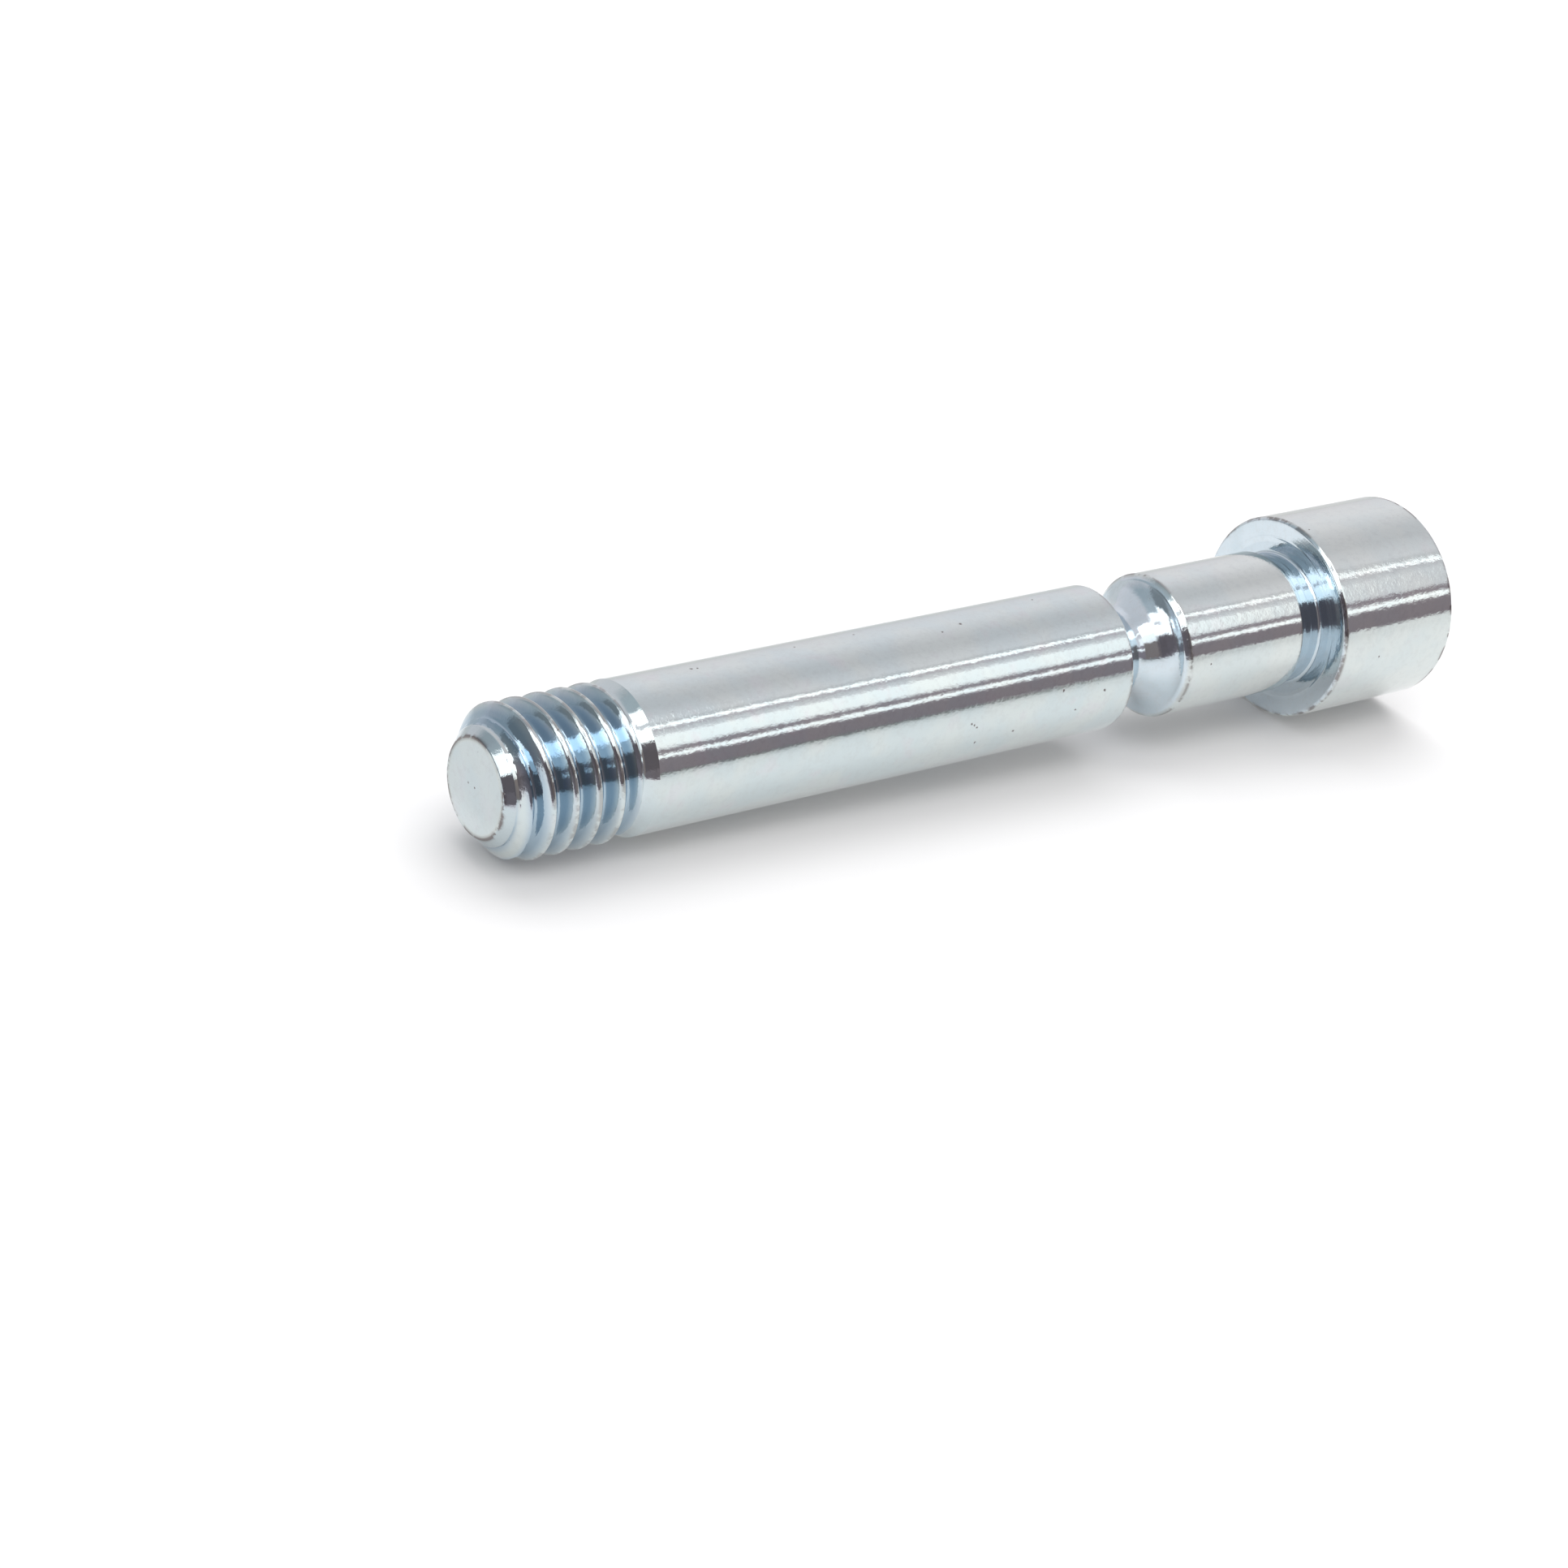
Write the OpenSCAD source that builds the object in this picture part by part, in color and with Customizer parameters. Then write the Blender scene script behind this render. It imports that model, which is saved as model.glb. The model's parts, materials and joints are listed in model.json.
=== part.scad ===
// Captive panel screw, M6 x 1.0, turned from one piece of steel.
// It lies on its side at rest: the rear rim of the head and the start of the
// thread touch the floor z = 0, and the head points to +X. Sizes are in mm.
// Lengths along the screw are counted from the tip, s = 0, towards the head.

/* [Shank] */
// Diameter of the plain shank
shank_d = 6; // [4:0.1:7]
// Length under the head, from the tip to the bearing face
shank_l = 40; // [30:0.5:80]

/* [Thread] */
// Major diameter of the threaded end
thread_d = 6; // [4.6:0.1:7]
// Length of the full thread, from the tip
thread_l = 5.4; // [3:0.1:15]
// Diameter of the flat end face inside the 45 degree end chamfer
tip_d = 3.84; // [2:0.02:4.4]
// Diameter that the last thread groove is cut down to
runout_d = 5.2; // [4:0.1:5.6]
// Length over which the last thread groove runs out into the shank
runout_l = 0.7; // [0.3:0.1:2]

/* [Retaining groove] */
// Width of the groove at the surface of the shank
groove_w = 3.2; // [2:0.1:5]
// Distance from the bearing face to the nearer lip of the groove
groove_gap = 7.5; // [4:0.5:15]
// Diameter at the bottom of the groove
groove_d = 3.5; // [2.5:0.1:4.5]
// Width of the 45 degree bevel on each lip
groove_lip = 0.2; // [0.05:0.05:0.4]

/* [Relief neck] */
// Diameter of the shallow neck under the head
neck_d = 5.5; // [3.5:0.1:5.9]
// Length of the neck
neck_l = 1.2; // [0.5:0.1:3]
// Radius of the turned corner between the neck and the bearing face
neck_corner = 0.3; // [0.1:0.05:0.5]

/* [Head] */
// Diameter of the cylindrical head
head_d = 8.6; // [8:0.1:12]
// Height of the head
head_h = 6.5; // [6:0.1:10]
// Bevel on the outer edge of the socket face
head_bevel = 0.2; // [0.05:0.05:0.6]
// Bevel on the edge of the bearing face
seat_bevel = 0.12; // [0.05:0.01:0.4]

/* [Hexagon socket] */
// Width across the flats of the socket
socket_af = 5; // [3:0.5:5.5]
// Depth of the six flats
socket_depth = 3.5; // [2:0.1:4]
// How far the conical lead-in reaches past the corners of the hexagon
lead_in = 0.06; // [0.02:0.01:0.3]
// Included angle of the conical lead-in
lead_in_angle = 120; // [90:1:130]
// Included angle of the drilled bottom
drill_angle = 118; // [100:1:140]

/* [Rest] */
// Turn of the screw about its own axis as it lies
roll = 3; // [0:1:60]

/* [Hidden] */
$fn = 96;
eps = 0.01;

shank_r = shank_d / 2;
thread_r = thread_d / 2;
tip_r = tip_d / 2;
runout_r = runout_d / 2;
neck_r = neck_d / 2;
head_r = head_d / 2;
overall_l = shank_l + head_h;
groove_end = shank_l - groove_gap;
groove_start = groove_end - groove_w;

// Outline of the turned blank as [radius, s], from the axis at the tip to the
// axis at the socket face.
outline = [
    [0, 0],
    [tip_r, 0],
    [thread_r, thread_r - tip_r],
    [thread_r, thread_l],
    [runout_r, thread_l],
    [shank_r, thread_l + runout_l],
    [shank_r, groove_start],
    [shank_r - groove_lip, groove_start + groove_lip],
    [shank_r - groove_lip, groove_end - groove_lip],
    [shank_r, groove_end],
    [shank_r, shank_l - neck_l],
    [neck_r, shank_l - neck_l],
    [neck_r, shank_l],
    [head_r - seat_bevel, shank_l],
    [head_r, shank_l + seat_bevel],
    [head_r, overall_l - head_bevel],
    [head_r - head_bevel, overall_l],
    [0, overall_l]
];

// The cove of the groove is the arc through both bevels' inner edges and the
// bottom of the groove: a chord of cove_w with the height cove_h.
cove_w = groove_w - 2 * groove_lip;
cove_h = shank_r - groove_lip - groove_d / 2;
cove_r = (pow(cove_w / 2, 2) + pow(cove_h, 2)) / (2 * cove_h);

// The floor is the line through the rear rim of the head and the first point
// of the outline that it meets, and rest_tilt is the axis' rise towards the
// head above that line.
rim = [head_r, shank_l + seat_bevel];
rest_tilt = min([for (p = outline) if (p[1] < shank_l && p[0] > 0) atan2(rim[0] - p[0], rim[1] - p[1])]);
lift = max([for (p = outline) p[0] * cos(rest_tilt) - p[1] * sin(rest_tilt)]);
x_low = min([for (p = outline) p[1] * cos(rest_tilt) - p[0] * sin(rest_tilt)]);
x_high = max([for (p = outline) p[1] * cos(rest_tilt) + p[0] * sin(rest_tilt)]);

// Puts the screw's axis, drawn along +Z from the tip, into the rest position.
module lay_down() {
    translate([-(x_low + x_high) / 2, 0, lift])
        rotate([0, 90 - rest_tilt, 0])
            rotate([0, 0, roll])
                children();
}

// Turned outside, with the cove and the neck's corner as true arcs.
module turned_body() {
    rotate_extrude() {
        difference() {
            polygon(outline);
            translate([groove_d / 2 + cove_r, groove_start + groove_w / 2])
                circle(r = cove_r);
        }
        difference() {
            translate([neck_r - eps, shank_l - neck_corner])
                square([neck_corner + eps, neck_corner + eps]);
            translate([neck_r + neck_corner, shank_l - neck_corner])
                circle(r = neck_corner);
        }
    }
}

// Broached hexagon with a conical lead-in and a drilled bottom, mouth up.
module hex_socket() {
    corner_r = socket_af / 2 / cos(30);
    mouth_r = corner_r + lead_in;
    translate([0, 0, -socket_depth])
        cylinder(r = corner_r, h = socket_depth + eps, $fn = 6);
    drill_h = socket_af / 2 / tan(drill_angle / 2);
    translate([0, 0, -socket_depth - drill_h])
        cylinder(r1 = 0, r2 = socket_af / 2, h = drill_h);
    lead_h = mouth_r / tan(lead_in_angle / 2);
    translate([0, 0, -lead_h])
        cylinder(r1 = 0, r2 = mouth_r, h = lead_h);
}

module screw() {
    color("lightsteelblue")
        lay_down()
            difference() {
                turned_body();
                translate([0, 0, overall_l])
                    hex_socket();
            }
}

screw();
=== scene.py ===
"""Looks of a captive panel screw that lies on a plain white floor.

Lengths in the making of the screw are in millimetres along its axis, s, counted from the
tip towards the head, and are turned into metres where a mesh is made. Angles round the
axis, phi, start at the top and grow towards the camera's side.
"""

import json
import math

import bpy
import numpy as np
from mathutils import Matrix, Vector


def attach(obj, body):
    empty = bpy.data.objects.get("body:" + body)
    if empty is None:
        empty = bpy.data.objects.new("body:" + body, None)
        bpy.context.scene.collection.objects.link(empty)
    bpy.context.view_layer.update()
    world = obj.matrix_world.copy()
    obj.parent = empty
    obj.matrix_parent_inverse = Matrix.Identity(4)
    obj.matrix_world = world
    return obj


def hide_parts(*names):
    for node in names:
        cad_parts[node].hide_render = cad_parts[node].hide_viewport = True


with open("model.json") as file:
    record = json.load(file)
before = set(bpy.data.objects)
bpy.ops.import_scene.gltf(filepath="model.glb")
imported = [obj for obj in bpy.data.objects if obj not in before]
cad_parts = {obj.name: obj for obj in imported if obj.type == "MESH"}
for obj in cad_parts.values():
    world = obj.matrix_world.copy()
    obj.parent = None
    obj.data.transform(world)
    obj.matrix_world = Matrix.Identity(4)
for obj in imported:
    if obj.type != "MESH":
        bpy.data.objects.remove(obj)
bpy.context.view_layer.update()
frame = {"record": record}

MM = 0.001
MOUNTS = {mount["name"]: mount for mount in frame["record"]["mounts"]}

# Place of the screw, read from the frame's mounts
AXIS = Vector(MOUNTS["hex_socket"]["axis"]).normalized()
SEAT_POINT = Vector(MOUNTS["head_seat"]["pos_m"]) / MM
FACE_POINT = Vector(MOUNTS["hex_socket"]["pos_m"]) / MM
THREAD_POINT = Vector(MOUNTS["thread"]["pos_m"]) / MM
UP = (Vector((0, 0, 1)) - AXIS * AXIS.z).normalized()
SIDE = AXIS.cross(UP)

# Shank and head
SHANK_R = MOUNTS["shank"]["dims"]["r_mm"]
HEAD_H = (FACE_POINT - SEAT_POINT).length
HEAD_R = 4.3
HEAD_BEVEL = 0.2
SEAT_BEVEL = 0.12

# Relief neck, with the ridges that turning left in it and on the bearing face
NECK_R = 2.75
NECK_L = 1.2
NECK_CORNER = 0.14
NECK_RIDGE = 0.013
SEAT_RIDGE = 0.007
SEAT_RIDGE_R = 3.47

# Threaded end
THREAD_R = MOUNTS["thread"]["dims"]["r_mm"]
THREAD_FULL = MOUNTS["thread"]["dims"]["length_mm"]
TIP_R = 1.92
TIP_L = THREAD_R - TIP_R
THREAD_L = TIP_L + THREAD_FULL
PITCH = 1.0
THREAD_DEPTH = 0.6134 * PITCH
THREAD_PHASE = 0.30
FLANK_W = THREAD_DEPTH * math.tan(math.radians(30))
CREST_W = 0.15
CREST_BLEND = 0.16
ROOT_BLEND = 0.26

# The thread's groove gets shallower by this share, over this length, before it runs out
FADE = 0.45
FADE_LEAD = 0.6
FADE_L = 0.7

# Groove that the last turn runs out into: a steep side, a flat bottom and a slope
RUNOUT_R = 2.6
RUNOUT_L = 0.7
RUNOUT_LEAD = 0.04
RUNOUT_DROP = 0.22
RUNOUT_FLAT = 0.2

# The end bevel has a narrow step half way up: places along it and the rise there
END_STEP_S = (0, 0.34, 0.48, 0.7)
END_STEP_RISE = (0, 0.34, 0.36, 0.7)

SEAT_S = (SEAT_POINT - THREAD_POINT).length + (TIP_L + THREAD_L) / 2
OVERALL_L = SEAT_S + HEAD_H
TIP_POINT = SEAT_POINT - AXIS * SEAT_S

# Retaining groove
GROOVE_GAP = 7.5
GROOVE_W = 3.2
GROOVE_R = 1.75
GROOVE_LIP = 0.2
GROOVE_END = SEAT_S - GROOVE_GAP
GROOVE_START = GROOVE_END - GROOVE_W

# Hexagon socket
SOCKET_AF = 5.0
SOCKET_DEPTH = 3.5
SOCKET_TURN = math.radians(3)
LEAD_IN = 0.06
LEAD_IN_ANGLE = math.radians(120)
DRILL_ANGLE = math.radians(118)
DRILL_LEDGE = 0.04

# Mesh density
COLUMNS = 264
THREAD_ROWS = 30
EDGE_ROUND = 0.035
TIP_ROUND = 0.04
ROW_GAP = 0.6
RIM_ROW_GAP = 0.2
NEAR_CORNER = (0.05, 0.11, 0.18, 0.27, 0.4)
FACE_RINGS = (0.35, 0.8, 1.2, 1.5, 1.7)

# Rows follow the helix between these two places
HELIX_START = 0.34
HELIX_END = THREAD_L + 0.1

# Outline lengths inside the socket start here, well above all others
SOCKET_PATH = 100

# Point values that the material reads: the outline's length up to there, how much an edge
# marks it, how much it lies in a recess, and how much it lies in the thread, which paints shade
# there
FIELDS = ("path", "edge", "recess", "thread")

# Marks of edges: how far they reach, and how strong they are on the thread's crests and
# round the mouth of the socket
EDGE_REACH = 0.09
CREST_REACH = 0.05
CREST_EDGE = 0.5
MOUTH_EDGE = 0.6

# Recess value of the end face, and thread values of the end bevel and the neck, which paint shade on
# them
FACE_RECESS = 0.3
BEVEL_SHADE = 0.35
NECK_SHADE = 0.2

# Small dark marks on the plating, as (s, phi in degrees, radius in mm)
MARKS = [
    (9.4, -7, 0.07),
    (9.65, -6, 0.045),
    (21.9, 5, 0.07),
    (20.8, 10, 0.05),
    (14.3, -9, 0.05),
    (17.2, -10, 0.04),
    (26.2, -9, 0.05),
    (20.95, 88, 0.045),
    (21.1, 90, 0.05),
    (21.25, 92, 0.045),
    (23.3, 104, 0.055),
    (21.4, 107, 0.05),
    (27.8, 84, 0.06),
    (25.6, 77, 0.05),
    (26.4, 96, 0.04),
    (33.6, 82, 0.035),
    (40.4, 6, 0.05),
    (42.2, 92, 0.045),
]

# The same on the end face, as (distance from the axis, phi in degrees, radius in mm)
FACE_MARKS = [(0.0, 0, 0.035), (0.45, -90, 0.03)]

# Relief of the plating
WAVE_H = 0.0065
FINE_WAVE_H = 0.0009
TURNING_H = 0.0014
PIT_DEPTH = 0.006

# Roughness of the plating: its least, and what turning, pits and the socket add
ROUGH_LEAST = 0.03
ROUGH_TURNED = 0.04
ROUGH_PIT = 0.4
ROUGH_SOCKET = 0.3

# Colours of the plating as it reflects, from clear film to brown pits, with painted shade for the
# thread and the socket
FILM = (0.60, 0.675, 0.69, 1)
FILM_PALE = (0.635, 0.69, 0.685, 1)
FILM_LILAC = (0.65, 0.665, 0.69, 1)
FILM_HEAD = (0.668, 0.712, 0.70, 1)
FILM_RECESS = (0.59, 0.68, 0.735, 1)
FILM_RECESS_PALE = (0.64, 0.72, 0.775, 1)
FILM_MOTTLE = (0.52, 0.55, 0.56, 1)
# bluer film with painted shade, deep in the thread
THREAD_FILM_AND_SHADE = (0.37, 0.475, 0.56, 1)
# painted shade inside the socket, dark teal
SOCKET_PAINTED_SHADE = (0.35, 0.44, 0.47, 1)
PIT = (0.13, 0.095, 0.085, 1)
MARK = (0.17, 0.135, 0.13, 1)
STAIN = (0.17, 0.14, 0.135, 1)

# Tones of the studio's light
WHITE = (1, 1, 1)
LILAC = (1.02, 0.99, 1.025)
MAUVE = (1.12, 0.945, 1.04)
COOL = (0.9, 1.0, 1.07)
WARM = (1.18, 0.98, 0.95)

# The brightest level in the lists below
BRIGHTEST = 3.6

# Studio round the screw, as (angle in degrees from straight up towards the camera's side,
# brightness). Each list holds for the directions that RANGES gives it.
STRIPS = [
    (-180, 0.78),
    (-104, 0.70),
    (-92, 0.76),
    (-78, 0.88),
    (-68, 0.92),
    (-55, 0.95),
    (-43, 0.90),
    (-31, 0.81),
    (-19, 0.73),
    (-7, 0.72),
    (5, 0.81),
    (16, 0.88),
    (21.4, 0.64),
    (22.2, 1.75),
    (26.0, 1.75),
    (26.8, 0.5),
    (31, 0.76),
    (36.5, 0.94),
    (38, 1.38),
    (53, 1.33),
    (56.5, 0.88),
    (58, 0.32),
    (63, 0.34),
    (64.6, 1.5),
    (68.8, 1.5),
    (69.4, 0.32),
    (73, 0.27),
    (91, 0.26),
    (180, 0.85),
]
# nearest the head's end the narrow strip lies a little lower and the broad one is missing
FAR_STRIPS = [
    (a + 2.6 if 21 < a < 28 else a, 0.84 if 36 < a < 57 else level) for a, level in STRIPS
]
BESIDE = [
    (-180, 0.8),
    (-95, 0.8),
    (-60, 0.78),
    (-5, 0.72),
    (8, 0.8),
    (12, 3.6),
    (30, 3.4),
    (34, 1.5),
    (50, 1.4),
    (54, 0.25),
    (89, 0.22),
    (93, 0.6),
    (180, 0.8),
]
TIP_SIDE = [
    (-180, 0.8),
    (-95, 0.8),
    (-86, 0.65),
    (-70, 0.5),
    (-46, 0.5),
    (-28, 0.57),
    (-12, 0.58),
    (-8, 2.2),
    (11, 2.2),
    (13, 0.85),
    (19, 0.85),
    (21, 2.2),
    (41, 2.0),
    (45, 0.17),
    (60, 0.13),
    (90, 0.14),
    (93, 0.5),
    (180, 0.8),
]
TIP_EDGE = [
    (-180, 0.8),
    (-92, 0.4),
    (-72, 0.28),
    (-31, 0.28),
    (-26, 1.9),
    (41, 1.9),
    (45, 0.15),
    (90, 0.15),
    (94, 0.55),
    (180, 0.8),
]
BEHIND_TIP = [
    (-180, 0.8),
    (-90, 0.45),
    (-70, 0.28),
    (20, 0.25),
    (60, 0.16),
    (90, 0.15),
    (94, 0.6),
    (180, 0.8),
]

# Where each list takes over from the one before as directions turn from tip to head, as
# (list, X of the direction at the start and the end of the change, tone of its dim light
# away from the camera and towards it, whether its strips waver). The first is BEHIND_TIP.
RANGES = [
    (TIP_EDGE, -0.97, -0.94, COOL, MAUVE, True),
    (TIP_SIDE, -0.79, -0.73, COOL, MAUVE, True),
    (BESIDE, -0.5, -0.26, COOL, WARM, True),
    (STRIPS, 0.4, 0.52, MAUVE, MAUVE, False),
    (FAR_STRIPS, 0.645, 0.69, MAUVE, MAUVE, False),
]
WAVER = 0.03

# Floor: paper, the light that the camera sees added to it, and the painted reflection that it glows
# for the plating's mirrored rays, with its brightness at the screw, what it loses further out and
# its least share
PAPER = (0.58, 0.58, 0.58, 1)
PAPER_GLOW = 0.12
PAINTED_REFLECTION_BRIGHT = 1.57
PAINTED_REFLECTION_LOSS = 1.19
PAINTED_REFLECTION_SHARE = 0.15


def camera():
    """The photograph's camera, aimed at a point of the floor."""
    aim = Vector((-7.93, 0.84, 0.0)) * MM
    distance = 142.17 * MM
    azimuth, elevation, roll = (math.radians(a) for a in (-41.345, 27.374, 11.19))
    focal_px, image_px, sensor = 4464, 1932, 36
    back = Vector(
        (
            math.sin(azimuth) * math.cos(elevation),
            -math.cos(azimuth) * math.cos(elevation),
            math.sin(elevation),
        )
    )
    data = bpy.data.cameras.new("camera")
    data.sensor_width = sensor
    data.lens = sensor * focal_px / image_px
    data.clip_start = 0.005
    data.clip_end = 20
    cam = bpy.data.objects.new("camera", data)
    bpy.context.scene.collection.objects.link(cam)
    cam.rotation_mode = "QUATERNION"
    cam.location = aim + back * distance
    turn = Matrix.Rotation(roll, 3, back)
    cam.rotation_quaternion = (turn @ (-back).to_track_quat("-Z", "Y").to_matrix()).to_quaternion()
    bpy.context.scene.camera = cam


def on_surface(s, phi, radius):
    """The point in millimetres at s and phi, a radius away from the axis."""
    across = UP * math.cos(phi) + SIDE * math.sin(phi)
    return TIP_POINT + AXIS * s + across * radius


def smooth_ramp(x, low_blend, high_blend):
    """Rises from 0 to 1 as x goes from 0 to 1, with both corners rounded."""
    rise = np.clip(x, 0, 1)
    near_low = np.abs(x) < low_blend
    rise = np.where(near_low, (x + low_blend) ** 2 / (4 * low_blend), rise)
    near_high = np.abs(x - 1) < high_blend
    return np.where(near_high, 1 - (1 + high_blend - x) ** 2 / (4 * high_blend), rise)


def thread_cut(s, phi):
    """How deep the thread's groove lies under the major radius at s and phi."""
    turn = (s - PITCH * phi / (2 * math.pi)) / PITCH - THREAD_PHASE
    from_crest = np.abs((turn + 0.5) % 1.0 - 0.5) * PITCH
    shape = smooth_ramp((from_crest - CREST_W / 2) / FLANK_W, CREST_BLEND, ROOT_BLEND)
    fade = 1 - FADE * smooth_ramp((s - THREAD_L + FADE_LEAD) / FADE_L, 0.3, 0.3)
    return THREAD_DEPTH * shape * fade


def thread_blank(s):
    """Radius of the turned blank under the thread, from the end bevel to the run-out."""
    bevel = TIP_R + np.interp(s, END_STEP_S, END_STEP_RISE) + np.maximum(s - END_STEP_S[-1], 0)
    dip = smooth_ramp((s - THREAD_L + RUNOUT_LEAD) / RUNOUT_DROP, 0.3, 0.4)
    rise = smooth_ramp((s - THREAD_L - RUNOUT_FLAT) / (RUNOUT_L - RUNOUT_FLAT), 0.35, 0.12)
    runout = THREAD_R - (THREAD_R - RUNOUT_R) * dip * (1 - rise)
    return np.minimum(bevel, runout)


def rounded(points, size=EDGE_ROUND, steps=4):
    """The outline through [s, radius] points with each inner corner rounded by an arc."""
    out = [points[0]]
    for before, corner, after in zip(points, points[1:], points[2:]):
        a, b, c = (np.array(p, float) for p in (before, corner, after))
        cut = min(size, 0.45 * np.linalg.norm(b - a), 0.45 * np.linalg.norm(c - b))
        start = b + (a - b) / np.linalg.norm(a - b) * cut
        end = b + (c - b) / np.linalg.norm(c - b) * cut
        for i in range(steps + 1):
            t = i / steps
            out.append(tuple((1 - t) ** 2 * start + 2 * t * (1 - t) * b + t**2 * end))
    out.append(points[-1])
    return out


def arc(centre, radius, start, end, steps):
    """Points of a circle in the outline's plane between two angles, in degrees."""
    angles = np.radians(np.linspace(start, end, steps + 1))
    return [(centre[0] + radius * math.cos(a), centre[1] + radius * math.sin(a)) for a in angles]


def divided(points, longest):
    """The same outline with short steps next to its corners and none longer than longest."""
    out = [points[0]]
    for a, b in zip(points, points[1:]):
        length = math.dist(a, b)
        near = [d for d in NEAR_CORNER if 2.5 * d < length]
        inner = length - 2 * near[-1] if near else length
        n = max(1, math.ceil(inner / longest))
        start = near[-1] if near else 0.0
        stops = near + [start + inner * i / n for i in range(1, n)]
        stops += [length - d for d in reversed(near)] + [length]
        out += [tuple(np.array(a) + (np.array(b) - np.array(a)) * d / length) for d in stops]
    return out


def cove():
    """The shallow arc of the groove, between its two bevels."""
    half = GROOVE_W / 2 - GROOVE_LIP
    height = SHANK_R - GROOVE_LIP - GROOVE_R
    radius = (half**2 + height**2) / (2 * height)
    reach = math.degrees(math.asin(half / radius))
    middle = (GROOVE_START + GROOVE_W / 2, GROOVE_R + radius)
    return arc(middle, radius, -90 - reach, -90 + reach, 44)


def neck_outline():
    """The relief neck and its ridges, as [s, radius]."""
    start = SEAT_S - NECK_L
    return [
        (start + 0.03, NECK_R + 0.07),
        (start + 0.2, NECK_R + 0.015),
        (start + 0.3, NECK_R + NECK_RIDGE),
        (start + 0.36, NECK_R),
        (start + 0.58, NECK_R + 0.008),
        (start + 0.66, NECK_R + NECK_RIDGE),
        (start + 0.72, NECK_R),
    ]


def body_outline():
    """[s, radius] from the end of the thread to the mouth of the socket."""
    shank = [(THREAD_L + RUNOUT_L, SHANK_R), (GROOVE_START, SHANK_R)]
    first_lip = (GROOVE_START + GROOVE_LIP, SHANK_R - GROOVE_LIP)
    second_lip = (GROOVE_END - GROOVE_LIP, SHANK_R - GROOVE_LIP)
    land = [(GROOVE_END, SHANK_R), (SEAT_S - NECK_L, SHANK_R)]
    corner = arc((SEAT_S - NECK_CORNER, NECK_R + NECK_CORNER), NECK_CORNER, -90, 0, 6)
    seat = [
        (SEAT_S, SEAT_RIDGE_R - 0.05),
        (SEAT_S - SEAT_RIDGE, SEAT_RIDGE_R),
        (SEAT_S, SEAT_RIDGE_R + 0.07),
        (SEAT_S, HEAD_R - SEAT_BEVEL),
        (SEAT_S + SEAT_BEVEL, HEAD_R),
    ]
    face = [
        (OVERALL_L - HEAD_BEVEL, HEAD_R),
        (OVERALL_L, HEAD_R - HEAD_BEVEL),
        (OVERALL_L, mouth_radius()),
    ]
    first = rounded(shank + [first_lip])[:-1]
    second = rounded([second_lip] + land + neck_outline() + [corner[0]])[1:-1]
    head = rounded([corner[-1]] + seat + face)[1:]
    return divided(first + cove() + second + corner + head, ROW_GAP)


def mouth_radius():
    """Radius of the lead-in where it meets the head's outer face."""
    return SOCKET_AF / 2 / math.cos(math.radians(30)) + LEAD_IN


def hexagon_radius(phi):
    """Distance of the hexagon's walls from the axis in each direction."""
    within = (phi - SOCKET_TURN) % math.radians(60) - math.radians(30)
    return SOCKET_AF / 2 / np.cos(within)


def rim_stain_faded_at_highlight(phi):
    """How much of the rims' staining is left at phi: it fades high on the camera's side, where the
    highlight falls, so the rims are painted lighter there.
    """
    highlight_side, spread = 33, 24
    away = (math.degrees(phi) - highlight_side + 180) % 360 - 180
    return 1 - 0.8 * math.exp(-((away / spread) ** 2))


def edge_nearness(s, radius):
    """How much a turned edge marks this place, as the plating wears and stains there first."""
    edges = [
        (0, TIP_R, 1.3),
        (GROOVE_START, SHANK_R, 0.8),
        (GROOVE_END, SHANK_R, 0.8),
        (SEAT_S - NECK_L, SHANK_R, 0.8),
        (SEAT_S + SEAT_BEVEL / 2, HEAD_R - SEAT_BEVEL / 2, 1.2),
        (OVERALL_L - HEAD_BEVEL, HEAD_R, 1.7),
        (OVERALL_L, mouth_radius(), MOUTH_EDGE),
    ]
    nearness = [(math.dist((s, radius), (a, r)) / EDGE_REACH, weight) for a, r, weight in edges]
    return max(weight * math.exp(-(distance**2)) for distance, weight in nearness)


class Skin:
    """A closed mesh made of rings of COLUMNS points, each point with the values in FIELDS."""

    def __init__(self):
        self.phi = SOCKET_TURN + 2 * math.pi * np.arange(COLUMNS) / COLUMNS
        self.points = []
        self.faces = []
        self.path = []
        self.edge = []
        self.recess = []
        self.thread = []

    def add(self, s, radius, phi, path, edge=0.0, recess=0.0, thread=0.0):
        self.points.append(on_surface(float(s), phi, float(radius)) * MM)
        self.path.append(path)
        self.edge.append(edge)
        self.recess.append(recess)
        self.thread.append(thread)
        return len(self.points) - 1

    def ring(self, s, radius, path, edge=0.0, recess=0.0, thread=0.0):
        s = np.broadcast_to(s, self.phi.shape)
        radius = np.broadcast_to(radius, self.phi.shape)
        # the edge's stain is faded where the highlight falls: painted light
        return [
            self.add(a, r, p, path, edge * rim_stain_faded_at_highlight(p), recess, thread)
            for a, r, p in zip(s, radius, self.phi)
        ]

    def face(self, *corners):
        kept = [c for i, c in enumerate(corners) if c not in corners[:i]]
        if len(kept) > 2:
            self.faces.append(kept)

    def bridge(self, low, high):
        """Faces between two rings, outward when high lies further along the outline."""
        for i in range(COLUMNS):
            j = (i + 1) % COLUMNS
            self.face(low[i], high[i], high[j], low[j])

    def fan(self, ring, centre, first):
        """Faces between a ring and a point on the axis, at the first or the last end."""
        for i in range(COLUMNS):
            j = (i + 1) % COLUMNS
            self.face(*((centre, ring[i], ring[j]) if first else (centre, ring[j], ring[i])))


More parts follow.
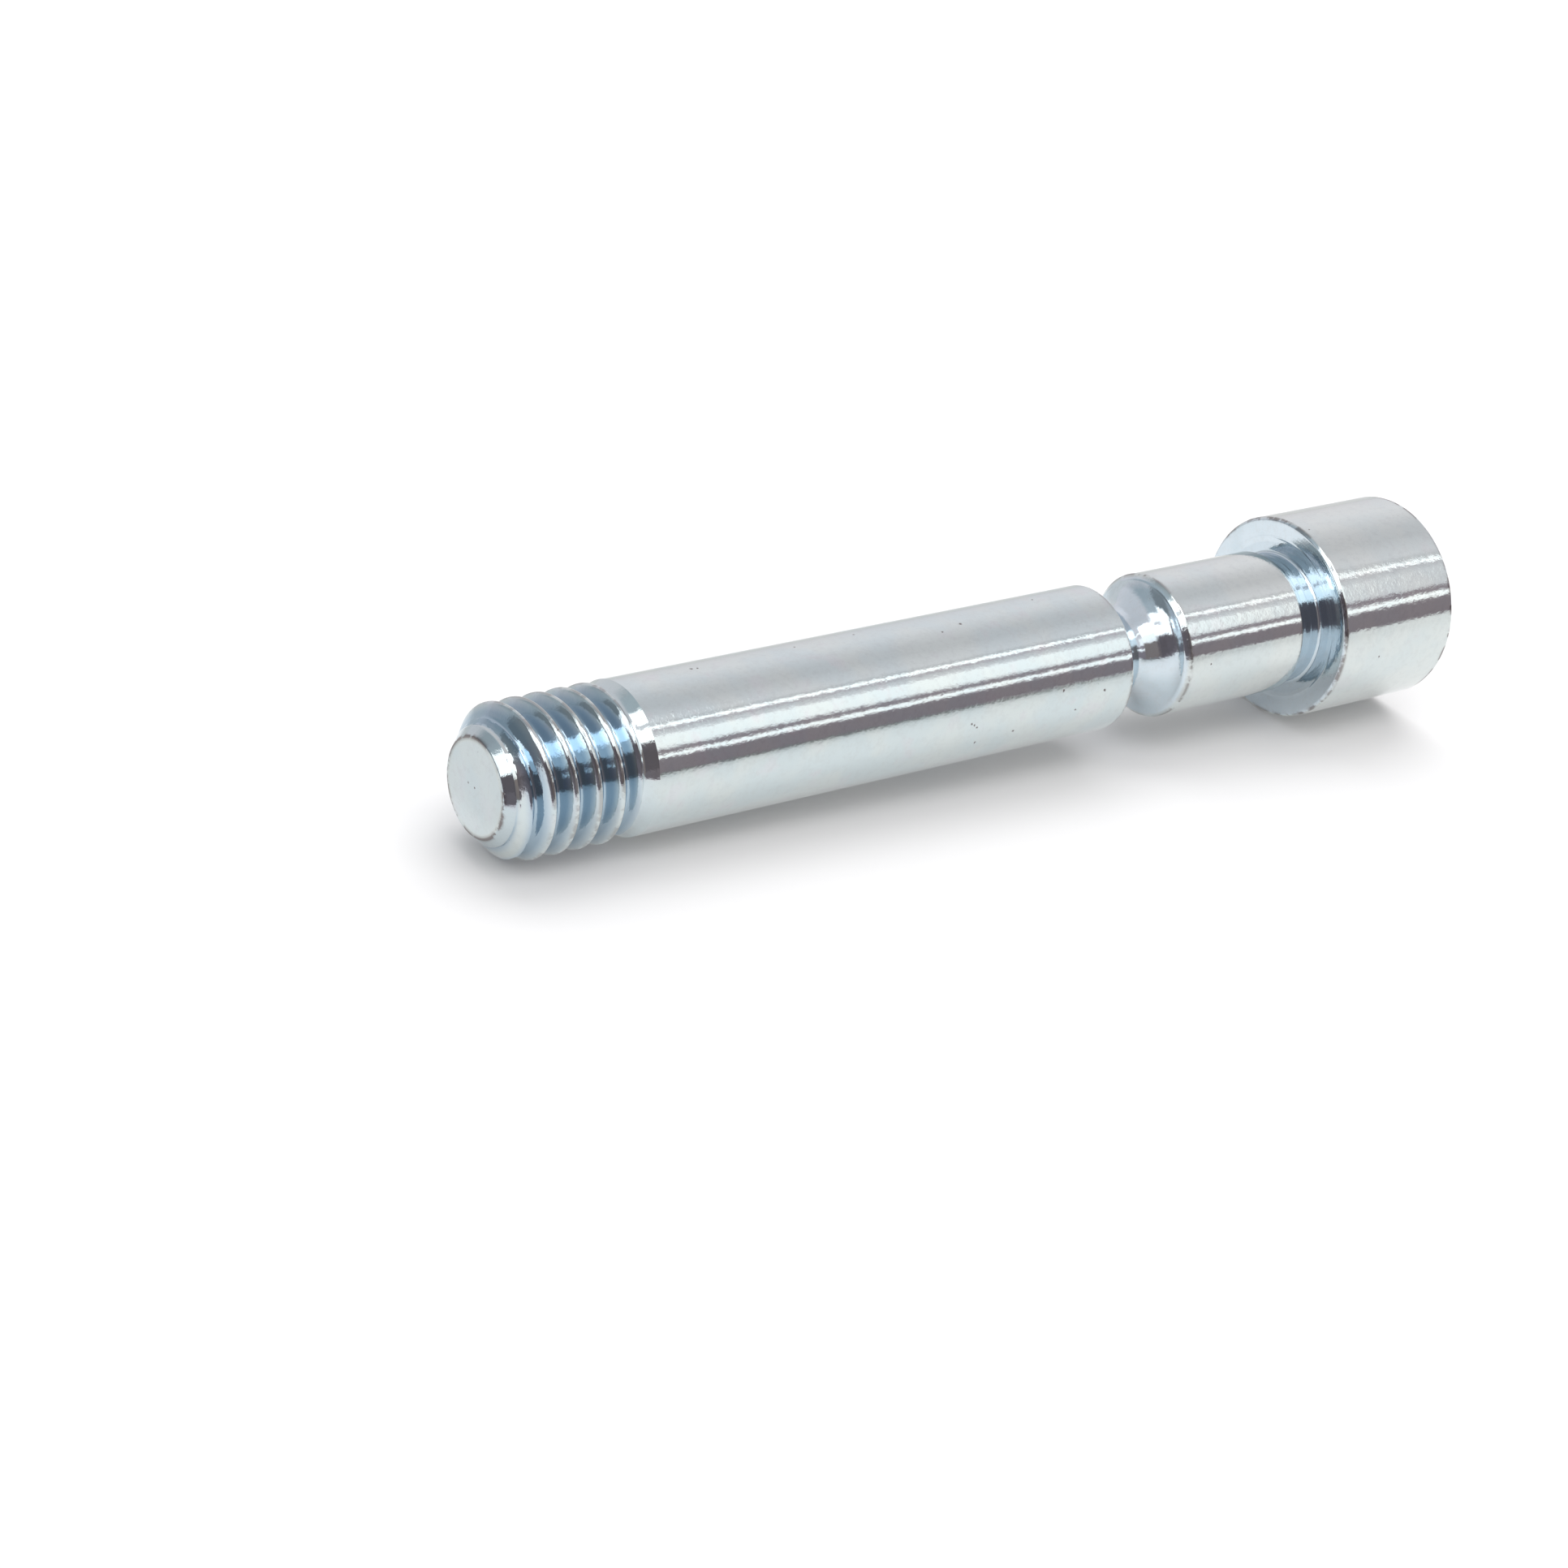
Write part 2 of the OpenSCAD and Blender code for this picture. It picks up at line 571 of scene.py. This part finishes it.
def tip_skin(skin):
    """The end face and the start of the end bevel, up to the ring that it returns."""
    centre = skin.add(0, 0, 0, -TIP_R, 0.0, FACE_RECESS)
    rings = [skin.ring(0, r, r - TIP_R, 0.0, FACE_RECESS) for r in FACE_RINGS]
    skin.fan(rings[0], centre, True)
    corners = [(0.0, FACE_RINGS[-1]), (0.0, TIP_R), (HELIX_START, TIP_R + HELIX_START)]
    for s, r in divided(rounded(corners, TIP_ROUND), RIM_ROW_GAP)[1:]:
        # the bevel takes some of the thread's painted shade
        thread = BEVEL_SHADE if s > 0 else 0.0
        rings.append(skin.ring(s, r, s + r - TIP_R, edge_nearness(s, r), 0.0, thread))
    for low, high in zip(rings, rings[1:]):
        skin.bridge(low, high)
    return rings[-1]


def thread_skin(skin, first, last):
    """Fills the span between two rings with rows that follow the helix.

    The rows start and end beyond the rings, and their points there are the rings' own.
    """
    per_row = PITCH / THREAD_ROWS
    snap = 0.2 * per_row
    beyond = 1.5 * PITCH
    start = HELIX_START - beyond
    rows = math.ceil((HELIX_END - HELIX_START + 2 * beyond) / per_row)
    grid = np.empty((COLUMNS, rows + 1), int)
    for j in range(COLUMNS):
        lead = PITCH * (skin.phi[j] - skin.phi[0]) / (2 * math.pi)
        s = start + lead + per_row * np.arange(rows + 1)
        cut = thread_cut(s, skin.phi[j])
        radius = np.minimum(thread_blank(s), THREAD_R - cut)
        for k in range(rows + 1):
            if s[k] <= HELIX_START + snap:
                grid[j, k] = first[j]
            elif s[k] >= HELIX_END - snap:
                grid[j, k] = last[j]
            else:
                crest = CREST_EDGE * math.exp(-(((THREAD_R - radius[k]) / CREST_REACH) ** 2))
                # how deep the groove is here: it sets the recess tint and the thread's painted shade
                low = min(1.0, cut[k] / THREAD_DEPTH * 1.8)
                grid[j, k] = skin.add(s[k], radius[k], skin.phi[j], s[k], crest, low, low)
    for j in range(COLUMNS):
        # the last column meets the first one a whole pitch further along
        nxt, step = (j + 1) % COLUMNS, THREAD_ROWS if j == COLUMNS - 1 else 0
        for k in range(rows - step):
            skin.face(grid[j, k], grid[j, k + 1], grid[nxt, k + 1 + step], grid[nxt, k + step])


def threaded_end(skin):
    """From the end face to the last ring of the run-out, which it returns."""
    tip_end = tip_skin(skin)
    last_cut = thread_cut(HELIX_END, skin.phi)
    shallow = np.minimum(thread_blank(HELIX_END), THREAD_R - last_cut)
    before = skin.ring(HELIX_END, shallow, HELIX_END, 0.0, 0.6)
    thread_skin(skin, tip_end, before)

    # the thread's form is gone after a third of the run-out's rings
    spans, fading = 15, 5
    for i, s in enumerate(np.linspace(HELIX_END, THREAD_L + RUNOUT_L, spans + 1)[1:-1], 1):
        blend = max(0.0, 1 - i / fading)
        blank = thread_blank(s)
        radius = blend * np.minimum(blank, THREAD_R - last_cut) + (1 - blend) * blank
        ring = skin.ring(s, radius, s, 0.0, 0.5 * (1 - i / spans))
        skin.bridge(before, ring)
        before = ring
    return before


def screw_skin():
    """The whole screw, from the end face to the bottom of the socket."""
    skin = Skin()
    before = threaded_end(skin)
    outline = body_outline()
    path = outline[0][0]
    previous = outline[0]
    for s, r in outline:
        path += math.dist((s, r), previous)
        # the groove, the neck and the bearing face are recesses
        recess = float(r < SHANK_R - 0.1 or SEAT_S - 0.1 < s < SEAT_S + 0.05)
        # the neck takes a little of the thread's painted shade
        thread = NECK_SHADE if s > SEAT_S - NECK_L and r < NECK_R + 0.5 else 0.0
        ring = skin.ring(s, r, path, edge_nearness(s, r), recess, thread)
        skin.bridge(before, ring)
        before, previous = ring, (s, r)
    socket_skin(skin, before)
    return skin


def socket_skin(skin, mouth):
    """The lead-in, the six walls and the drilled bottom."""
    walls = hexagon_radius(skin.phi)
    lead = (mouth_radius() - walls) / math.tan(LEAD_IN_ANGLE / 2)
    before = mouth
    for t in (0.5, 0.93, 1.0):
        radius = mouth_radius() + (walls - mouth_radius()) * t
        edge = MOUTH_EDGE if t > 0.9 else 0.0
        ring = skin.ring(OVERALL_L - lead * t, radius, SOCKET_PATH + t, edge)
        skin.bridge(before, ring)
        before = ring
    wall_rows = 8
    for t in np.linspace(0, 1, wall_rows + 1)[1:]:
        depth = lead + (SOCKET_DEPTH - lead) * t
        ring = skin.ring(OVERALL_L - depth, walls, SOCKET_PATH + 1 + SOCKET_DEPTH * t)
        skin.bridge(before, ring)
        before = ring
    drill_r = SOCKET_AF / 2 - DRILL_LEDGE
    floor_path = SOCKET_PATH + 5
    for t in (1.0, 0.75, 0.5, 0.25):
        depth = SOCKET_DEPTH + drill_r * (1 - t) / math.tan(DRILL_ANGLE / 2)
        ring = skin.ring(OVERALL_L - depth, drill_r * t, floor_path + drill_r * (1 - t))
        skin.bridge(before, ring)
        before = ring
    bottom = SOCKET_DEPTH + drill_r / math.tan(DRILL_ANGLE / 2)
    skin.fan(before, skin.add(OVERALL_L - bottom, 0, 0, floor_path + 3), False)


def mesh_object(name, skin):
    mesh = bpy.data.meshes.new(name)
    mesh.from_pydata(skin.points, [], skin.faces)
    for field in FIELDS:
        layer = mesh.attributes.new(field, "FLOAT", "POINT")
        layer.data.foreach_set("value", np.array(getattr(skin, field), dtype=np.float32))
    mesh.validate()
    mesh.shade_smooth()
    mesh.set_sharp_from_angle(angle=math.radians(38))
    obj = bpy.data.objects.new(name, mesh)
    bpy.context.scene.collection.objects.link(obj)
    return obj


class Nodes:
    """Short calls for making shader nodes."""

    def __init__(self, tree):
        self.tree = tree
        tree.nodes.clear()

    def new(self, kind, values=(), links=(), **fields):
        node = self.tree.nodes.new(kind)
        for field, value in fields.items():
            setattr(node, field, value)
        for socket, value in dict(values).items():
            node.inputs[socket].default_value = value
        for socket, source in dict(links).items():
            self.tree.links.new(source, node.inputs[socket])
        return node

    def math(self, operation, a, b=0.0, clamp=False):
        node = self.new("ShaderNodeMath", operation=operation, use_clamp=clamp)
        for i, value in enumerate((a, b)):
            if isinstance(value, (int, float)):
                node.inputs[i].default_value = value
            else:
                self.tree.links.new(value, node.inputs[i])
        return node.outputs[0]

    def add(self, a, b, clamp=False):
        return self.math("ADD", a, b, clamp)

    def minus(self, a, b):
        return self.math("SUBTRACT", a, b)

    def times(self, a, b, clamp=False):
        return self.math("MULTIPLY", a, b, clamp)

    def noise(self, vector, scale, detail=2.0, roughness=0.5):
        values = {"Scale": scale, "Detail": detail, "Roughness": roughness}
        return self.new("ShaderNodeTexNoise", values, {"Vector": vector}).outputs["Fac"]

    def steps(self, value, low, high):
        """0 under low, 1 over high and smooth between."""
        node = self.new("ShaderNodeMapRange", interpolation_type="SMOOTHSTEP")
        node.inputs["From Min"].default_value = low
        node.inputs["From Max"].default_value = high
        self.tree.links.new(value, node.inputs["Value"])
        return node.outputs["Result"]

    def around(self, fac, stops, behind, ahead):
        """Light over angles from -180 to 180 degrees.

        What is bright is white, what is dim has the tone of its side and the rest is lilac.
        """
        node = self.new("ShaderNodeValToRGB", links={"Fac": fac})
        elements = node.color_ramp.elements
        for _ in range(len(stops) - 2):
            elements.new(0.5)
        for element, (degrees, level) in zip(elements, stops):
            tone = behind if degrees < 0 else ahead
            if level >= 0.6:
                tone = LILAC
            if level >= 1:
                tone = WHITE
            element.position = degrees / 360 + 0.5
            element.color = tuple(level / BRIGHTEST * c for c in tone) + (1,)
        return node.outputs["Color"]

    def mix(self, factor, a, b):
        node = self.new("ShaderNodeMix", data_type="RGBA")
        for socket, value in ((0, factor), (6, a), (7, b)):
            if isinstance(value, (int, float, tuple)):
                node.inputs[socket].default_value = value
            else:
                self.tree.links.new(value, node.inputs[socket])
        return node.outputs[2]


def mark_field(n, mm):
    """1 inside the small marks, with ragged edges."""
    spots = [(s, phi, HEAD_R if s > SEAT_S else SHANK_R, size) for s, phi, size in MARKS]
    spots += [(0, phi, radius, size) for radius, phi, size in FACE_MARKS]
    nearest = None
    for s, phi, radius, size in spots:
        centre = tuple(on_surface(s, math.radians(phi), radius))
        distance = n.new("ShaderNodeVectorMath", {1: centre}, {0: mm}, operation="DISTANCE")
        away = n.minus(distance.outputs["Value"], size)
        nearest = away if nearest is None else n.math("MINIMUM", nearest, away)
    ragged = n.times(n.minus(n.noise(mm, 9.0, 3), 0.5), 0.14)
    return n.steps(n.add(nearest, ragged), 0.02, -0.03)


def film_colour(n, mm, along, recess, thread, inside):
    """The thin passivation film: cool grey-green with faint clouds, bluer in recesses, and darkened
    by painted shade in the thread, on the end bevel, in the neck and inside the socket.
    """
    cloud = n.noise(mm, 0.45, 3)
    other_cloud = n.noise(mm, 0.8, 3)
    film = n.mix(n.steps(cloud, 0.4, 0.62), FILM, FILM_PALE)
    film = n.mix(n.times(n.steps(other_cloud, 0.55, 0.72), 0.6), film, FILM_LILAC)
    patchy = n.add(n.times(n.steps(cloud, 0.35, 0.65), 0.5), 0.5)
    film = n.mix(n.times(n.steps(along, 4.0, 15.0), patchy), film, FILM_HEAD)
    deep = n.mix(n.steps(other_cloud, 0.35, 0.6), FILM_RECESS, FILM_RECESS_PALE)
    film = n.mix(recess, film, deep)
    mottle = n.times(n.steps(n.noise(mm, 3.2, 5, 0.7), 0.46, 0.66), 0.22)
    film = n.mix(mottle, film, FILM_MOTTLE)
    # painted shade: the film darkens and turns bluer deep in the thread, and partly on the end bevel
    # and in the neck
    film = n.mix(thread, film, THREAD_FILM_AND_SHADE)
    # painted shade: dark teal inside the socket
    return n.mix(inside, film, SOCKET_PAINTED_SHADE)


def pit_field(n, mm, edge):
    """1 inside small brown pits, which are thickest on edges."""
    grain = n.noise(mm, 5.0, 4, 0.6)
    patch = n.noise(mm, 0.55, 2)
    bite = n.times(n.times(edge, n.steps(patch, 0.48, 0.62)), 0.12)
    return n.steps(n.add(n.add(grain, n.times(patch, 0.12)), bite), 0.80, 0.84)


def relief_mm(n, mm, turned, recess, pits, inside):
    """Heights in mm: waviness of the plating, turning marks and pits."""
    wavy = n.times(n.noise(mm, 3.0, 4, 0.62), WAVE_H)
    wavy = n.add(wavy, n.times(n.noise(mm, 11.0, 3, 0.6), FINE_WAVE_H))
    wavy = n.times(wavy, n.minus(1.0, n.times(inside, 0.85)))
    lines = n.times(n.noise(turned, 7.0, 5, 0.6), TURNING_H)
    height = n.add(wavy, n.times(lines, n.add(n.times(recess, 1.5), 0.5)))
    return n.minus(height, n.times(pits, PIT_DEPTH))


def plated_steel():
    """Clear-blue zinc plating over turned steel."""
    material = bpy.data.materials.new("plated_steel")
    material.use_nodes = True
    n = Nodes(material.node_tree)
    place = n.new("ShaderNodeTexCoord").outputs["Object"]
    to_mm = n.new("ShaderNodeVectorMath", {1: (1000, 1000, 1000)}, {0: place}, operation="MULTIPLY")
    mm = to_mm.outputs[0]
    path, edge, recess, thread = (
        n.new("ShaderNodeAttribute", attribute_name=field).outputs["Fac"] for field in FIELDS
    )
    inside = n.steps(path, SOCKET_PATH + 0.9, SOCKET_PATH + 1.1)

    # coordinates that are fine along the outline and slow round it, for turning marks
    split = n.new("ShaderNodeSeparateXYZ", links={0: mm})
    across = [n.times(split.outputs[name], 0.02) for name in ("Y", "Z")]
    turned = n.new("ShaderNodeCombineXYZ", links={0: path, 1: across[0], 2: across[1]}).outputs[0]

    pits = pit_field(n, mm, edge)
    marks = mark_field(n, mm)
    stain = n.times(edge, n.steps(n.noise(mm, 1.3, 4, 0.65), 0.42, 0.56), clamp=True)
    colour = film_colour(n, mm, split.outputs["X"], recess, thread, inside)
    colour = n.mix(pits, colour, PIT)
    colour = n.mix(n.times(marks, 0.85), colour, MARK)
    colour = n.mix(n.times(stain, 0.85), colour, STAIN)

    pits = n.math("MAXIMUM", pits, marks)
    rough = n.add(ROUGH_LEAST, n.times(n.noise(turned, 9.0, 4), ROUGH_TURNED))
    rough = n.add(rough, n.times(pits, ROUGH_PIT))
    rough = n.add(rough, n.times(inside, ROUGH_SOCKET))
    height = relief_mm(n, mm, turned, recess, pits, inside)
    bump = n.new("ShaderNodeBump", {"Strength": 1.0, "Distance": MM}, {"Height": height})

    surface = n.new(
        "ShaderNodeBsdfPrincipled",
        {"Metallic": 1.0},
        {"Base Color": colour, "Roughness": rough, "Normal": bump.outputs[0]},
    )
    n.new("ShaderNodeOutputMaterial", links={"Surface": surface.outputs[0]})
    return material


def studio():
    """The room: pale overall, with strip lights above and a dark band at the horizon."""
    world = bpy.data.worlds.new("studio")
    bpy.context.scene.world = world
    world.use_nodes = True
    n = Nodes(world.node_tree)
    direction = n.new("ShaderNodeTexCoord").outputs["Generated"]
    split = n.new("ShaderNodeSeparateXYZ", links={0: direction})
    angle = n.math("ARCTAN2", n.times(split.outputs["Y"], -1.0), split.outputs["Z"])
    turn = n.add(n.math("DIVIDE", angle, 2 * math.pi), 0.5)
    wavy = n.add(turn, n.times(n.minus(n.noise(direction, 9.0, 3), 0.5), WAVER))

    light = n.around(turn, BEHIND_TIP, COOL, MAUVE)
    for stops, low, high, behind, ahead, wavers in RANGES:
        other = n.around(wavy if wavers else turn, stops, behind, ahead)
        light = n.mix(n.steps(split.outputs["X"], low, high), light, other)

    room = n.new("ShaderNodeBackground", {"Strength": BRIGHTEST}, {"Color": light})
    white = n.new("ShaderNodeBackground", {"Color": (1, 1, 1, 1), "Strength": 1.0})
    seen = n.new("ShaderNodeLightPath").outputs["Is Camera Ray"]
    mixed = n.new("ShaderNodeMixShader", links={0: seen, 1: room.outputs[0], 2: white.outputs[0]})
    n.new("ShaderNodeOutputWorld", links={"Surface": mixed.outputs[0]})


def painted_reflection_dimness(n, x, y):
    """How dim the floor's painted reflection is at a place, in metres, and where it is mauve."""
    ahead = n.times(y, -1.0)
    left = n.times(x, -1.0)
    far = n.math("POWER", n.math("DIVIDE", ahead, 0.15, clamp=True), 0.46)

    # the painted reflection is brighter again beyond the head, and dimmer behind the screw and well
    # ahead of it
    beyond_head = n.steps(n.minus(x, n.times(ahead, 0.75)), 0.005, 0.045)
    far = n.times(far, n.minus(1.0, n.times(beyond_head, 0.6)))
    far = n.add(far, n.times(n.steps(y, 0.002, 0.03), 0.75))
    far = n.add(far, n.times(n.steps(ahead, 0.008, 0.045), 0.12))

    # painted dark places in front of the tip and, where the end face looks, behind it
    front_of_tip = n.times(n.steps(left, 0.027, 0.033), n.steps(ahead, 0.004, 0.009))
    behind_tip = n.times(n.steps(left, 0.0235, 0.0255), n.steps(y, -0.001, 0.002))
    far = n.math("MAXIMUM", far, n.times(front_of_tip, 1.16))
    far = n.math("MAXIMUM", far, n.times(behind_tip, 0.56))
    return far, front_of_tip


def floor_white():
    """White paper which, for the plating's mirrored rays, partly glows a painted reflection that is
    dimmer further out.
    """
    material = bpy.data.materials.new("floor_white")
    material.use_nodes = True
    n = Nodes(material.node_tree)
    rays = n.new("ShaderNodeLightPath")
    paper = n.new("ShaderNodeBsdfDiffuse", {"Color": PAPER})
    lift = n.times(rays.outputs["Is Camera Ray"], PAPER_GLOW)
    glow = n.new("ShaderNodeEmission", {"Color": (1, 1, 1, 1)}, {"Strength": lift})
    lit = n.new("ShaderNodeAddShader", links={0: paper.outputs[0], 1: glow.outputs[0]})

    place = n.new("ShaderNodeTexCoord").outputs["Object"]
    spot = n.new("ShaderNodeSeparateXYZ", links={0: place})
    far, mauve = painted_reflection_dimness(n, spot.outputs["X"], spot.outputs["Y"])
    level = n.minus(PAINTED_REFLECTION_BRIGHT, n.times(far, PAINTED_REFLECTION_LOSS))
    tone = n.mix(mauve, (1, 1, 1, 1), MAUVE + (1,))
    # the floor glows this painted reflection, seen only in the plating's mirror, in place of the lit
    # paper
    painted_reflection = n.new("ShaderNodeEmission", links={"Color": tone, "Strength": level})

    mirrored = n.math("MAXIMUM", rays.outputs["Is Glossy Ray"], rays.outputs["Is Transmission Ray"])
    share = n.add(n.times(far, 1 - PAINTED_REFLECTION_SHARE), PAINTED_REFLECTION_SHARE, clamp=True)
    share = n.times(share, mirrored)
    both = n.new("ShaderNodeMixShader", links={0: share, 1: lit.outputs[0], 2: painted_reflection.outputs[0]})
    n.new("ShaderNodeOutputMaterial", links={"Surface": both.outputs[0]})
    return material


def floor():
    """A wide white floor that the screw lies on."""
    half = 3.0
    corners = [(-half, -half, 0), (half, -half, 0), (half, half, 0), (-half, half, 0)]
    mesh = bpy.data.meshes.new("floor")
    mesh.from_pydata(corners, [], [(0, 1, 2, 3)])
    mesh.materials.append(floor_white())
    obj = bpy.data.objects.new("floor", mesh)
    bpy.context.scene.collection.objects.link(obj)


def key_light():
    """A broad soft lamp above and behind the screw, which shapes the floor's shadow."""
    data = bpy.data.lights.new("key", "AREA")
    data.shape = "RECTANGLE"
    data.size = 0.5
    data.size_y = 0.35
    data.energy = 1.9
    lamp = bpy.data.objects.new("key", data)
    bpy.context.scene.collection.objects.link(lamp)
    lamp.location = Vector((0.14, 0.19, 0.42))
    lamp.rotation_mode = "QUATERNION"
    lamp.rotation_quaternion = (-lamp.location).to_track_quat("-Z", "Y")
    lamp.visible_glossy = False
    lamp.visible_camera = False


camera()
studio()
floor()
key_light()

screw = mesh_object("captive_screw", screw_skin())
screw.data.materials.append(plated_steel())
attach(screw, "root")
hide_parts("screw")

bpy.context.scene.view_settings.view_transform = "Standard"
